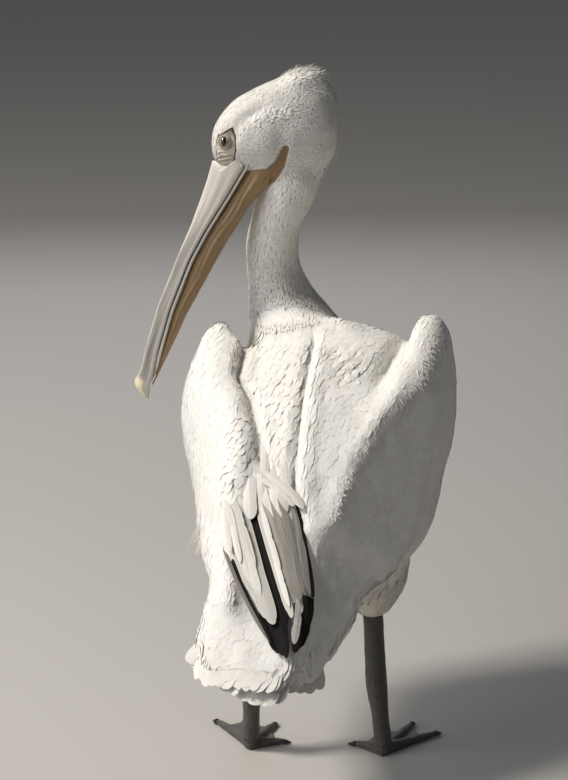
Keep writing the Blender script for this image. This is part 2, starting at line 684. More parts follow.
# ------------------------------------------------------------------------------------------------
# The coat. White contour feathers over the whole body, in one coat of many small vanes: each grows
# from the skin, leans into the coat and lies along it, its tip over the roots of those behind.
# ------------------------------------------------------------------------------------------------
PATCH = 0.003  # the side of each feather's patch on the skin's own map


def points_tree(place):
    """A search tree over places."""
    search = KDTree(len(place))
    for number, point in enumerate(place):
        search.insert(point, number)
    search.balance()
    return search


coat_search = points_tree(coat_place)


def on_coat(place):
    """The foot of each place on the coat's surface, the surface's normal there, and the nearest coat point."""
    nearest = np.array([coat_search.find(p)[1] for p in place])
    normal = coat_normal[nearest]
    away = ((place - coat_place[nearest]) * normal).sum(axis=1)
    return place - away[:, None] * normal, normal, nearest


def spaced(place, gap):
    """Picks places, in their given order, so that none lies nearer than gap to one picked before it."""
    search = points_tree(place)
    free = np.ones(len(place), bool)
    kept = []
    for number, point in enumerate(place):
        if free[number]:
            kept.append(number)
            free[[found[1] for found in search.find_range(point, gap)]] = False
    return np.array(kept)


def roots(where, gap):
    """Evenly strewn feather roots: (places on the coat, places on the skin's map). where gives each vertex's
    share. Places fall at random, 2.2 to each square of side gap, and those too near another are left out."""
    chosen = np.flatnonzero(where[corner].mean(axis=1) > 0.5)
    a, b, c = (coat_place[corner[chosen, k]] for k in range(3))
    area = np.linalg.norm(np.cross(b - a, c - a), axis=1) / 2
    count = int(2.2 * area.sum() / gap**2)
    face = rng.choice(len(chosen), count, p=area / area.sum())
    u, v = rng.random((2, count))
    u, v = np.where(u + v > 1, 1 - u, u), np.where(u + v > 1, 1 - v, v)
    share = np.stack([1 - u - v, u, v], axis=1)[..., None]
    place = (coat_place[corner[chosen[face]]] * share).sum(axis=1)
    spot = (unwrapped[chosen[face]] * share).sum(axis=1)
    kept = spaced(place, gap)
    return place[kept], spot[kept]


# Outlines of a vane: (share of the way along, share of the width).
ROUND_VANE = ((0.0, 0.35), (0.35, 0.88), (0.70, 1.0), (0.90, 0.72), (1.0, 0.22))
POINTED_VANE = ((0.0, 0.45), (0.35, 1.0), (0.70, 0.80), (0.90, 0.38), (1.0, 0.05))
SOFT_VANE = ((0.0, 0.50), (0.35, 1.0), (0.70, 0.92), (0.90, 0.60), (1.0, 0.12))
TUFT = ((0.0, 0.6), (0.55, 1.0), (1.0, 0.1))


def placed(name, mesh, finish_of):
    """A finished piece of the bird: a smooth mesh in one finish, riding on the body."""
    mesh.shade_smooth()
    mesh.materials.clear()
    mesh.materials.append(finish_of)
    made = bpy.data.objects.new(name, mesh)
    scene.collection.objects.link(made)
    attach(made, "root")
    return made


def feather_mesh(name, grid, shading, share, across, spot, finish_of):
    """Closes each feather's grid of points into a thin solid: its top, one strip below, and two ends. Its map
    is a patch round spot, and its normals are those of shading, turned over below and out past each end."""
    count, rows, columns = grid.shape[:3]
    index = np.arange(rows * columns).reshape(rows, columns)
    top = np.stack([index[:-1, :-1], index[:-1, 1:], index[1:, 1:], index[1:, :-1]], axis=-1).reshape(-1, 4)
    under = np.stack([index[:-1, -1], index[:-1, 0], index[1:, 0], index[1:, -1]], axis=-1)
    ends_of = [np.concatenate([index[0, :1], index[0, :0:-1]]), index[-1]]
    loops = np.concatenate([top.ravel(), under.ravel(), *ends_of])
    sizes = np.array([4] * (len(top) + len(under)) + [columns] * 2)
    mesh = bpy.data.meshes.new(name)
    mesh.vertices.add(count * rows * columns)
    mesh.vertices.foreach_set("co", grid.astype(np.float32).ravel())
    every = (loops[None] + (np.arange(count) * rows * columns)[:, None]).ravel()
    mesh.loops.add(len(every))
    mesh.loops.foreach_set("vertex_index", every.astype(np.int32))
    mesh.polygons.add(count * len(sizes))
    begins = np.concatenate([[0], np.cumsum(sizes)[:-1]])
    begins = (begins[None] + (np.arange(count) * len(loops))[:, None]).ravel()
    mesh.polygons.foreach_set("loop_start", begins.astype(np.int32))
    mesh.update(calc_edges=True)
    patch = np.stack(np.broadcast_arrays((across / 2)[None, :], (share - 0.5)[:, None]), axis=-1) * PATCH
    local = spot[:, None, None] + patch[None]
    layer = mesh.uv_layers.new(name="OFBake")
    layer.uv.foreach_set("vector", local.reshape(-1, 2)[every].astype(np.float32).ravel())
    tone = np.repeat(rng.random(count), rows * columns)
    along = np.tile(np.repeat(share, columns), count)
    mark(mesh, tone=tone, along=along, across=np.tile(across, count * rows))
    made = placed(name, mesh, finish_of)
    facing = shading.reshape(-1, 3)[every].reshape(count, len(loops), 3)
    facing[:, top.size : top.size + under.size] *= -1
    facing[:, top.size + under.size :] *= 0.2
    ahead = unit(grid[:, -1, columns // 2] - grid[:, -2, columns // 2])[:, None]
    facing[:, -2 * columns : -columns] -= ahead
    facing[:, -columns:] += ahead
    mesh.normals_split_custom_set(unit(facing).reshape(-1, 3))
    return made


def feathers(
    name, root, spot, length, width, vane, sunk, lift, yaw, finish_of,
    columns=3, thick=0.0003, cup=0.03, hold=1.0, tilt=0.10,
):
    """One piece of feathers. A feather's middle line starts at its root and walks along the lie of the coat
    for its length, held to the coat's surface up to the share hold. At share s it stands lift * s**2 less
    sunk * (1 - s)**1.3 above it. Across, it is a strip of columns points, lower at its edges by cup times the
    distance out, and thick in its middle; tilt leans its normals outwards, for a rounder look."""
    share, half = np.array(vane).T
    across = np.linspace(1, -1, columns)
    place, normal, nearest = on_coat(root)
    way = lie[nearest]
    way = np.cos(yaw)[:, None] * way + np.sin(yaw)[:, None] * np.cross(normal, way)
    grid = np.empty((len(root), len(vane), columns, 3))
    shading = np.empty_like(grid)
    for row in range(len(vane)):
        if row:
            place = place + way * (length * (share[row] - share[row - 1]))[:, None]
            if share[row] <= hold:
                place, normal, nearest = on_coat(place)
                way = unit(laid(way, normal))
        sideways = np.cross(normal, way)
        rise = lift * share[row] ** 2 - sunk * (1 - share[row]) ** 1.3
        centre = place + normal * rise[:, None]
        out = across[None, :, None] * (width / 2 * half[row])[:, None, None]
        drop = cup * np.abs(out) * np.abs(across[None, :, None])
        ridge = thick * (1 - np.abs(across))[None, :, None]
        grid[:, row] = centre[:, None] + out * sideways[:, None] + (ridge - drop) * normal[:, None]
        lean = tilt * (across[None, :, None] * sideways[:, None] + 0.3 * way[:, None])
        shading[:, row] = unit(normal[:, None] + lean)
    return feather_mesh(name, grid, shading, share, across, spot, finish_of)


def plumage(name, pale, dark, root_tint):
    """A contour feather: soft and matt with a faint sheen, each a little paler or darker, and deeper in tone
    towards its root, where less light comes in."""
    made, tree, shader = finish(name, 0.75, 1.45, Sheen_Weight=0.15)
    paint = blend(tree, attribute(tree, "tone"), pale, dark)
    painted(tree, shader, blend(tree, ramp(tree, attribute(tree, "along"), 0.1, 0.7), root_tint, paint))
    return made


white = plumage("white plumage", "#f2f0ea", "#ebe8e0", "#dedad0")
stained = plumage("stained thigh plumage", "#e0dbd1", "#d8d3c8", "#cbc5b9")


def strew(name, where, gap, length, width, vane, sunk, lift, ruffle, finish_of=white, **more):
    """Feathers over one part of the coat: sizes vary by a fifth, and each turns a little by ruffle radians."""
    root, spot = roots(where * (1 - bare), gap)
    vary = 1 + 0.2 * (2 * rng.random((4, len(root))) - 1)
    yaw = ruffle * (2 * rng.random(len(root)) - 1)
    sizes = (length * vary[0], width * vary[1], vane, sunk * vary[2], lift * vary[3], yaw)
    return feathers(name, root, spot, *sizes, finish_of, **more)


# Where the looser feathers grow: scapulars left of the spine, and ruffled coverts on the left wing.
along, left, up = in_body(coat_place).T
back = step(-0.02, 0.02, up)
scapular = step(-0.13, -0.07, along) * step(0.12, 0.09, along) * step(0.012, 0.022, left)
scapular = scapular * step(0.10, 0.085, left - 0.3 * np.maximum(-along, 0))
scapular = (scapular * step(0.03, 0.05, up) > 0.5) * 1.0
loose = step(0.05, 0.08, left) * step(0.135, 0.115, left) * step(-0.06, 0.0, along) * step(0.15, 0.11, along)
loose = (loose * step(0.0, 0.05, up) * (1 - scapular) > 0.5) * 1.0
smooth = (1 - scapular) * (1 - loose)
forward, height, side = in_head(coat_place).T
away, share = near_curve(np.stack([forward, height], axis=1), mm([(66, 6), (48, 20), (26, 32), (4, 34)]))
tufted = (away < 0.007) * step(0.15, 0.30, share) * whole["head"] * (np.abs(side) > 0.006)
sleek = dict(thick=0.00012, cup=0.008, tilt=0.04)
trunk = whole["trunk"] * smooth
strew("head_feathers", whole["head"], 0.0017, 0.0062, 0.0024, TUFT, 0.0012, 0.0002, 0.25, thick=0.00015)
strew("brow_tufts", tufted, 0.0030, 0.0085, 0.0042, ROUND_VANE, 0.0008, 0.0016, 0.9, thick=0.0002)
strew("neck_feathers", whole_neck, 0.0025, 0.0100, 0.0036, TUFT, 0.0018, 0.0003, 0.20, thick=0.0002)
strew("back_feathers", trunk * back, 0.0046, 0.034, 0.0108, SOFT_VANE, 0.0015, 0.0001, 0.12, **sleek)
strew("belly_feathers", trunk * (1 - back), 0.0056, 0.034, 0.0120, SOFT_VANE, 0.0016, 0.0001, 0.15, **sleek)
left_wing, right_wing = (whole["wing_" + name] * smooth for name in ("left", "right"))
strew("left_coverts", left_wing, 0.0046, 0.034, 0.0108, SOFT_VANE, 0.0015, 0.0001, 0.12, **sleek)
strew("loose_coverts", loose, 0.0070, 0.034, 0.0130, ROUND_VANE, 0.0026, 0.0008, 0.25, cup=0.05, tilt=0.15)
long_vane = dict(cup=0.05, tilt=0.12)
strew("scapular_feathers", scapular, 0.0066, 0.044, 0.0120, SOFT_VANE, 0.0024, 0.0006, 0.16, **long_vane)
strew("right_coverts", right_wing, 0.0046, 0.036, 0.0106, SOFT_VANE, 0.0014, 0.0001, 0.07, **sleek)
strew("thigh_feathers", whole_thigh, 0.0045, 0.024, 0.0076, POINTED_VANE, 0.0024, 0.0005, 0.22, stained)

uv_of_vertex = np.zeros((len(coat_place), 2))
uv_of_vertex[corner.ravel()] = unwrapped.reshape(-1, 2)
coat_tree = tree_of(outer)


def edged(name, curve, height, count, spread, length, width, turn, lift, ruffle, vane=POINTED_VANE, **more):
    """Longer, looser vanes scattered along a line given in the trunk's (along, left) at about this height,
    within spread of it. Each grows where its place, seen from behind, meets the coat: only where that is near
    it, within 0.12, and the coat there faces back and up."""
    at = rng.random(count) * (len(curve) - 1)
    flat = np.stack([np.interp(at, np.arange(len(curve)), column) for column in mm(curve).T], axis=1)
    flat = flat + spread * (2 * rng.random((count, 2)) - 1)
    root = from_body(np.column_stack([flat, np.full(count, height)]))
    hits = [coat_tree.ray_cast(Vector(p + 0.3 * outward), Vector(-outward), 0.6) for p in root]
    hits = [hit for hit in hits if hit[0] is not None and abs(hit[3] - 0.3) < 0.12]
    root = [hit[0] for hit in hits if hit[1] @ Vector(BACKWARD_UP) > 0.35]
    nearest = np.array([coat_search.find(p)[1] for p in root])
    vary = 1 + 0.3 * (2 * rng.random((3, len(root))) - 1)
    yaw = turn + ruffle * (2 * rng.random(len(root)) - 1)
    sizes = (length * vary[0], width * vary[1], vane, np.full(len(root), 0.0012), lift * vary[2], yaw)
    feathers(name, coat_place[nearest], uv_of_vertex[nearest], *sizes, white, **more)


# Along the edge of the right wing, over the roots of the tail, and turned forward round the foot of the neck.
RIDGE = [(-201, -160), (-135, -152), (-80, -140), (-20, -110), (30, -88), (80, -71), (120, -60), (160, -51)]
TAIL_LINE = [(376, 120), (389, 100), (396, 70), (399, 40), (399, 5), (394, -20), (384, -45), (374, -64)]
NECK_LINE = [(-200, 104), (-208, 85), (-214, 47), (-216, 15), (-212, -12)]
edged("ridge_fringe", RIDGE, 0.106, 900, 0.006, 0.019, 0.0036, 0.75, 0.0012, 0.35, hold=0.35, tilt=0.05)
soft_edge = dict(vane=SOFT_VANE, hold=0.0, tilt=0.03, cup=0.02)
edged("tail_coverts", TAIL_LINE, 0.050, 340, 0.014, 0.040, 0.0190, 0.0, 0.0002, 0.12, **soft_edge)
edged("neck_fringe", NECK_LINE, 0.098, 380, 0.008, 0.017, 0.0062, math.pi, 0.0018, 0.40, hold=0.4, tilt=0.05)

# ------------------------------------------------------------------------------------------------
# The flight feathers, tail and long coverts. Each is one broad vane on a shaft, laid by hand: black
# primaries below, silver-white tertials over them, then rows of coverts; they stand for the wing tips.
# ------------------------------------------------------------------------------------------------
ROWS = np.concatenate([np.linspace(0.0, 0.86, 20), 0.86 + 0.14 * (1 - (1 - np.linspace(0.14, 1, 7)) ** 2)])
COLUMNS = np.array([1.0, 0.84, 0.62, 0.34, 0.07, 0.0, -0.07, -0.34, -0.62, -0.84, -1.0])


def per_vane(along, across, number):
    """One noise place for each point of each vane: its share along, its share across and its vane's number."""
    return np.stack(np.broadcast_arrays(along, across, number[:, None, None]), axis=-1).reshape(-1, 3)


def blades(name, rows, finish_of, blunt=0.22, camber=0.16, slot="plumage", ragged=0.14):
    """Broad vanes, one for each row of (root, tip, width, bow, sweep, roll), in the trunk's (along, left, up).
    The shaft runs from root to tip, raised by bow * 4 s (1 - s) and swept sideways by sweep * 4 s (1 - s); the
    half-width is full until 1 - blunt and then falls as a quarter of an ellipse; edges drop by camber * a * a.
    ragged is how deep the nicks and waves of the edge are, as a share of the half-width."""
    root, tip = (from_body(np.array([row[k] for row in rows], float)) for k in (0, 1))
    width, bow, sweep, roll = np.array([row[2:] for row in rows], float).T
    run = unit(tip - root)
    up = unit(BACKWARD_UP - (run @ BACKWARD_UP)[:, None] * run)
    side = np.cross(up, run)
    up, side = (
        np.cos(roll)[:, None] * up + np.sin(roll)[:, None] * side,
        np.cos(roll)[:, None] * side - np.sin(roll)[:, None] * up,
    )
    number = np.arange(len(rows))
    arch = 4 * ROWS * (1 - ROWS)
    centre = root[:, None] + (tip - root)[:, None] * ROWS[:, None]
    raised, swept = (bow[:, None] * arch)[..., None], (sweep[:, None] * arch)[..., None]
    centre += raised * up[:, None] + swept * side[:, None]
    closing = np.sqrt(np.clip(1 - (np.clip(ROWS - (1 - blunt), 0, 1) / blunt) ** 2, 0.004, 1))
    half = width[:, None] / 2 * (0.55 + 0.45 * step(0.0, 0.3, ROWS)) * closing
    out = half[..., None] * COLUMNS
    sides = (len(rows), len(ROWS), 2)
    nicks = np.where(rng.random(sides) < 0.16, rng.random(sides), 0.12)
    nicks = nicks[..., (COLUMNS < 0).astype(int)] * np.abs(COLUMNS) ** 4 * (ROWS > 0.25)[:, None]
    out = out * (1 - ragged * nicks)
    wander = noise(per_vane(ROWS[None, :, None] * 6, np.sign(COLUMNS)[None, None] * 3.7, number * 5.1), 22)
    out = out * (1 + 0.5 * ragged * wander.reshape(out.shape))
    shaft = 0.0005 * (1 - ROWS[:, None]) ** 0.5 * (COLUMNS == 0)
    lift = -camber * np.abs(out) * np.abs(COLUMNS) + shaft
    ripple = noise(per_vane(ROWS[None, :, None] * 5, COLUMNS[None, None] * 1.5, number * 7.3), 21)
    lift = lift + 0.06 * half[..., None] * ripple.reshape(lift.shape) * (0.3 + np.abs(COLUMNS))
    grid = centre[:, :, None] + out[..., None] * side[:, None, None] + lift[..., None] * up[:, None, None]
    shading = unit(np.cross(np.gradient(grid, axis=1), np.gradient(grid, axis=2)))
    shading *= np.sign((shading * up[:, None, None]).sum(axis=-1, keepdims=True))
    made = feather_mesh(name, grid, shading, ROWS, COLUMNS, np.zeros((len(rows), 2)), finish_of)
    # Each broad vane has its own square of the map.
    aside = math.ceil(math.sqrt(len(rows)))
    cell = np.stack([number % aside, number // aside], axis=1)[:, None, None]
    spread = np.stack(np.broadcast_arrays(0.5 + 0.46 * COLUMNS[None, :], 0.02 + 0.96 * ROWS[:, None]), axis=-1)
    spread = ((cell + spread[None]) / aside).reshape(-1, 2)
    order = values_of(made.data.loops, "vertex_index", 1, np.int32)
    made.data.uv_layers["OFBake"].uv.foreach_set("vector", spread[order].astype(np.float32).ravel())
    mark(made.data, barb=np.linalg.norm(tip - root, axis=1)[:, None, None] * ROWS[:, None] + 1.1 * np.abs(out))
    return made


def vane_finish(name, pale, dark, edge, shaft_tint, roughness, shine=0.5):
    """A flight feather's vane: barbs 2.2 mm apart (the real 0.5 mm would not show) running out from a pale
    shaft, each vane with its own tone and worn paler at its edges. Soft satin, with a fine grain along the
    barbs."""
    made, tree, shader = finish(name, roughness, Specular_IOR_Level=shine)
    from_shaft = add(tree, "Math", {0: attribute(tree, "across")}, operation="ABSOLUTE").outputs[0]
    barb = attribute(tree, "barb")
    drawn_out = add(tree, "Math", {0: barb, 1: 260.0}, operation="MULTIPLY").outputs[0]
    streak = add(tree, "TexNoise", {"W": drawn_out}, noise_dimensions="1D").outputs["Fac"]
    paint = blend(tree, attribute(tree, "tone"), pale, dark)
    paint = blend(tree, ramp(tree, from_shaft, 0.80, 1.0, 0.75), paint, edge)
    paint = blend(tree, ramp(tree, from_shaft, 0.07, 0.03), paint, shaft_tint)
    paint = blend(tree, ramp(tree, streak, 0.45, 0.7, 0.5), paint, dark)
    wave = add(tree, "Math", {0: barb, 1: 2 * math.pi / 0.0022}, operation="MULTIPLY").outputs[0]
    wave = add(tree, "Math", {0: wave}, operation="SINE").outputs[0]
    painted(tree, shader, paint, wave, 0.5, 0.0005)
    return made


black_vane = vane_finish("black primary vane", "#15120f", "#0d0b0a", "#211d1a", "#2b2722", 0.72, 0.25)
grey_vane = vane_finish("silver tertial vane", "#e8e5dd", "#cdc8be", "#f4f2ec", "#d9d3c6", 0.65)
edge_vane = vane_finish("grey outer primary vane", "#8b857b", "#77716a", "#d8d3c9", "#b9b2a4", 0.6)
white_vane = vane_finish("white covert vane", "#f0ede6", "#e8e4dc", "#f6f4ef", "#ebe6da", 0.7)


def varied(rows, count, amount):
    """More rows like these: count vanes evenly between each two, moved at random by up to half this amount."""
    made = []
    for first, second in zip(rows, rows[1:]):
        for number in range(count):
            share = number / count
            mixed = [np.array(a) * (1 - share) + np.array(b) * share for a, b in zip(first, second)]
            for end in (0, 1):
                mixed[end] = mixed[end] + amount * (rng.random(3) - 0.5)
            made.append(mixed)
    return made + [rows[-1]]


def vanes(*rows):
    """Vanes from rows of root and tip in (along, left, up), width, bow and sweep, in millimetres, and roll."""
    return [(tuple(mm(row[:3])), tuple(mm(row[3:6])), *mm(row[6:9]), row[9]) for row in rows]


def on_roof(row, above):
    """The same vane with both ends laid this far above the plane right of the crest, where they stand over it,
    and rolled towards the right there."""
    ends_of_vane = []
    for end in row[:2]:
        end = np.array([end], float)
        reach = to_roof(end - (0.0, 0.0, above)) * step(0.015, -0.035, end[:, 1])
        ends_of_vane.append(tuple((end + np.maximum(reach, 0)[:, None] * AWAY)[0]))
    roll = row[5] + 0.5 * float(step(0.0, -0.05, np.array(row[1][1])))
    return (*ends_of_vane, *row[2:5], roll)


# The tail: rounded white feathers in a low fan of three lobes, the middle ones longest and on top. Each row is
# (left, how far back the tip reaches, width), and the fan is laid twice, one layer over the other.
TAIL = mm([
    (126, 404, 26), (114, 416, 28), (100, 428, 30), (84, 441, 32), (66, 453, 34), (36, 468, 34), (20, 474, 36),
    (3, 474, 34), (-12, 468, 30), (-28, 452, 30), (-42, 452, 30), (-56, 452, 30), (-70, 444, 28),
])
RIGHT_LOBE = 9  # the first feather of the right lobe
tail = []
for layer, (short, aside) in enumerate(((0.006, 0.006), (0.0, 0.0))):
    for number, (left, tip, width) in enumerate(TAIL):
        left = left + aside
        over = min(number, 9 - number if number < RIGHT_LOBE else 13 - number)
        height = 0.0009 * over + 0.0030 * layer
        base = (0.270, 0.014 + 0.34 * (left - 0.02), 0.030 + height)
        end = (tip - short, left, 0.044 + height - 0.06 * abs(left - 0.01))
        tail.append(on_roof((base, end, width, 0.003, 0.0, -0.08 if left > 0.04 else 0.0), -0.002))
tail_piece = blades("tail_feathers", tail, white_vane, blunt=0.13, camber=0.10, ragged=0.08)

# Black primaries and secondaries: two narrow wedges at the wing tips, and dark bands between the tertials.
primaries = varied(vanes(
    (150, 85, 70, 383, 2, 56, 22, 4, 0, 0),
    (150, 60, 74, 400, -18, 64, 22, 4, 0, 0),
), 3, 0.003)
primaries += vanes(
    (125, 86, 86, 345, 0, 66, 34, 4, 0, 0),
    (125, 78, 87, 350, -8, 67, 34, 4, 0, 0),
    (120, 10, 88, 298, -43, 73, 16, 4, -2, 0.5),
)
primaries += varied(vanes(
    (300, -41, 76, 388, -38, 74, 15, 3, 0, 0),
    (296, -32, 76, 398, -30, 73, 17, 3, 0, 0),
), 2, 0.002)
primaries = [on_roof(row, 0.009) if row[0][0] > 0.2 else row for row in primaries]
black = blades("primary_feathers", primaries, black_vane, blunt=0.35, slot="flight_feathers")
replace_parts(black, "wing_tip_left", "wing_tip_right")

# Long pale tertials over them, in two loose groups with the black between.
tertials = vanes(
    (120, 120, 82, 297, 45, 74, 17, 5, -3, -0.1),
    (120, 115, 85, 320, 31, 75, 18, 5, -3, -0.12),
    (115, 109, 87, 340, 19, 75, 20, 6, -2, -0.16),
    (110, 104, 89, 350, 8, 75, 24, 6, -2, 0.1),
    (130, 112, 89, 284, 50, 83, 14, 5, 2, -0.25),
    (130, 104, 91, 306, 34, 82, 14, 5, 1, -0.3),
    (140, 98, 93, 264, 48, 87, 13, 4, 2, -0.3),
    (140, 110, 90, 242, 73, 85, 13, 4, 2, -0.35),
    (110, 72, 90, 338, -18, 77, 14, 5, 0, -0.3),
    (110, 60, 92, 314, -16, 79, 18, 5, 0, 0.45),
    (105, 50, 94, 308, -24, 81, 24, 6, 0, 0.66),
    (105, 38, 95, 296, -30, 83, 24, 6, 0, 0.74),
    (120, 14, 92, 294, -38, 77, 18, 4, -2, 0.8),
    (240, -22, 74, 380, -26, 72, 13, 3, 0, 0.5),
)
blades("tertial_feathers", tertials, grey_vane, blunt=0.16, camber=0.07, ragged=0.35)

# One narrow grey primary with a black edge lies along the line where the tertials leave the wing.
narrow = dict(blunt=0.25, camber=0.10, slot="flight_feathers")
blades("outer_primary", vanes((160, 125, 70, 381, 9, 73, 5.5, 7, -8, -0.1)), edge_vane, **narrow)
blades("outer_primary_edge", vanes((160, 121, 70, 376, 8, 71, 9, 6, -8, -0.1)), black_vane, **narrow)

# Coverts: the cluster where wing and back meet, the rows above it, and two stray ones at the wing's edge.
cluster = vanes(
    (55, 138, 64, 165, 136, 54, 26, 6, 0, -0.6),
    (60, 126, 76, 178, 125, 66, 26, 6, 0, -0.45),
    (60, 114, 84, 186, 112, 76, 26, 6, 0, -0.3),
    (65, 102, 89, 184, 98, 83, 26, 6, 0, -0.15),
    (60, 92, 92, 178, 84, 87, 24, 6, 0, -0.05),
    (150, 110, 86, 232, 88, 87, 10, 4, 0, -0.35),
    (160, 100, 89, 252, 70, 89, 10, 4, 0, -0.3),
    (150, 54, 93, 262, 10, 90, 10, 4, 0, -0.5),
    (200, 34, 89, 322, -12, 83, 9, 4, 0, -0.5),
    (80, 82, 96, 174, 66, 91, 20, 6, 0, -0.1),
    (70, 66, 96, 160, 50, 90, 24, 5, 0, 0.1),
    (80, 45, 95, 168, 40, 90, 28, 5, 0, 0.1),
    (80, 36, 100, 172, 24, 92, 30, 6, 0, 0),
    (30, 22, 102, 131, -8, 98, 16, 4, 3, -0.1),
    (45, 36, 104, 119, 17, 101, 18, 4, 0, 0.1),
    (30, 50, 103, 105, 36, 100, 16, 4, 0, 0.2),
    (20, 64, 100, 92, 56, 98, 16, 4, 0, 0.1),
    (90, 56, 101, 154, -11, 98, 16, 5, 3, 0.2),
    (85, 62, 100, 150, 4, 97, 15, 5, 3, 0.2),
    (100, 64, 98, 140, 18, 98, 14, 4, 3, 0.2),
    (120, 150, 22, 180, 167, 22, 11, 2, 0, 1),
    (150, 142, 28, 202, 151, 34, 11, 2, 0, 0.9),
)
blades("cluster_feathers", cluster, white_vane, blunt=0.25, camber=0.20, ragged=0.25)
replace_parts(tail_piece, "tail")

# ------------------------------------------------------------------------------------------------
# The bill. The upper mandible is a long flat sheath of horn with a raised ridge, a furrow each side
# of it and a hooked nail; below it lie the two thin bars of the lower mandible.
# ------------------------------------------------------------------------------------------------
DOWN_TILT = math.radians(21)  # the bill hangs this far from straight down
BILLWARD = FACE * math.sin(DOWN_TILT) - UP * math.cos(DOWN_TILT)
RIDGEWARD = FACE * math.cos(DOWN_TILT) + UP * math.sin(DOWN_TILT)
# Distance down the bill, then the heights of ridge, edge and throat off its axis, and half its width, in mm.
BILL = mm([
    (50, 90, 37, -14, 31.5), (86, 88, 43, -7, 30), (118, 85, 48, 7, 27),
    (190, 83, 61.5, 21, 24), (240, 85.5, 67.5, 29, 21.5), (327, 86.5, 68, 40, 18.5),
    (400, 81, 61.5, 45, 18), (438, 75.5, 56, 47.5, 15.5), (450, 78, 54.5, 49, 12.5),
    (460, 77, 52.5, 49.5, 9.5), (468, 69, 50, 48, 6.2), (476, 56, 48, 47, 1.8),
])
BILL_END = BILL[-1, 0]


def bill_at(t):
    """Ridge, edge, throat and half-width at distances t: the table's values, averaged over 8 mm each way."""
    offsets = np.linspace(-0.008, 0.008, 5) * step(0.478, 0.445, t)[..., None]
    return [np.interp(t[..., None] + offsets, BILL[:, 0], BILL[:, k]).mean(axis=-1) for k in (1, 2, 3, 4)]


def place_on_bill(t, height, side):
    """Places at distance t down the bill, height off its axis and side to the head's left."""
    return skull + t[..., None] * BILLWARD + height[..., None] * RIDGEWARD + side[..., None] * HEAD_LEFT


def face_outward(shape):
    """Turns every face of a closed surface outwards."""
    bmesh.ops.recalc_face_normals(shape, faces=shape.faces[:])


def around_and_along(grid, axis):
    """How far each point of a grid lies along its row (1) or down its column (0), in metres."""
    first = grid[:, :1] if axis else grid[:1]
    return np.cumsum(np.linalg.norm(np.diff(grid, axis=axis, prepend=first), axis=-1), axis=axis)


def tube(name, grid, finish_of, slot, **values):
    """A closed surface from a grid of rings: quads between neighbouring rings, and a face over each end.
    values are attributes given at each point. Two more say how far round and down it each point lies."""
    index = np.arange(grid.shape[0] * grid.shape[1]).reshape(grid.shape[:2])
    quads = quads_of(index, np.roll(index, -1, axis=1)).tolist()
    mesh = bpy.data.meshes.new(name)
    mesh.from_pydata(grid.reshape(-1, 3).tolist(), [], quads + [index[0, ::-1].tolist(), index[-1].tolist()])
    values = dict(values, round_way=around_and_along(grid, 1), down_way=around_and_along(grid, 0))
    mark(mesh, **{label: np.broadcast_to(value, grid.shape[:2]) for label, value in values.items()})
    mesh.update()
    opened(mesh, face_outward)
    return placed(name, mesh, finish_of)


def grained(tree, round_scale, down_scale):
    """Noise drawn out along a piece: its two ways, each with its own scale in marks per metre."""
    ways = [
        add(tree, "Math", {0: attribute(tree, name), 1: scale}, operation="MULTIPLY").outputs[0]
        for name, scale in (("round_way", round_scale), ("down_way", down_scale))
    ]
    vector = add(tree, "CombineXYZ", dict(enumerate(ways))).outputs[0]
    return add(tree, "TexNoise", {"Vector": vector, "Scale": 1.0, "Detail": 4.0}).outputs["Fac"]


# Horn: pale grey, streaked lengthwise about every 1.5 mm, darker in the outer half, paler on the ridge, and
# yellow-white at the nail. Satin under a thin gloss, with the streaks just raised.
horn, tree, shader = finish("grey bill horn", 0.42, 1.54, Coat_Weight=0.15, Coat_Roughness=0.3)
streak = ramp(tree, grained(tree, 620.0, 8.0), 0.34, 0.66)
paint = blend(tree, streak, "#9a958c", "#d8d3c9")
paint = blend(tree, ramp(tree, grained(tree, 190.0, 3.0), 0.38, 0.62), paint, "#bdb7ac")
paint = blend(tree, attribute(tree, "outer_part"), paint, blend(tree, streak, "#5f5b54", "#a7a299"))
for where, tint in (("on_ridge", "#ece7da"), ("in_furrow", "#7f7a71"), ("on_nail", "#eadcb8")):
    paint = blend(tree, attribute(tree, where), paint, tint)
painted(tree, shader, paint, streak, 0.55, 0.0005)

# Half a section of the upper mandible, from ridge to cutting edge, as (share of the half-width, share of the
# height at the base, and in the outer half), and the hollow palate below it as (share of width, of height).
HALF_SIDE = np.array([0, 6, 14, 24, 34, 44, 54, 64, 74, 84, 92, 97, 100, 99, 95, 88]) / 100
AT_BASE = np.array([100, 99, 94, 85, 76, 70, 70, 72, 69, 58, 44, 30, 16, 7, 1, -1]) / 100
OUTER = np.array([100, 99, 94, 87, 82, 80, 77, 72, 64, 53, 40, 28, 16, 7, 1, -1]) / 100
PALATE = np.array([(60, 6), (30, 12), (0, 14), (-30, 12), (-60, 6)]) / 100
# Where the horn begins under the feathers, by the share of the height.
BASE_LINE = (0.0, 0.10, 0.20, 0.32, 0.46, 0.60, 0.72, 0.86, 1.0), mm([71, 67, 63, 60, 74, 88, 89, 85, 83])
side = np.concatenate([HALF_SIDE[::-1], -HALF_SIDE[1:], -PALATE[:, 0]])
at_base, outer_half = (np.concatenate([half[::-1], half[1:], PALATE[:, 1]]) for half in (AT_BASE, OUTER))
fine = np.linspace(0, 1, 110)[:, None]
begin = np.interp(at_base, *BASE_LINE)
t = begin + (BILL_END - begin) * (1 - (1 - fine) ** 1.25)
ridge, edge, throat, half = bill_at(t)
outward_share = step(0.09, 0.26, t)
height = at_base * (1 - outward_share) + outer_half * outward_share
nail = step(0.444, 0.456, t)
above_palate = height > 0.02
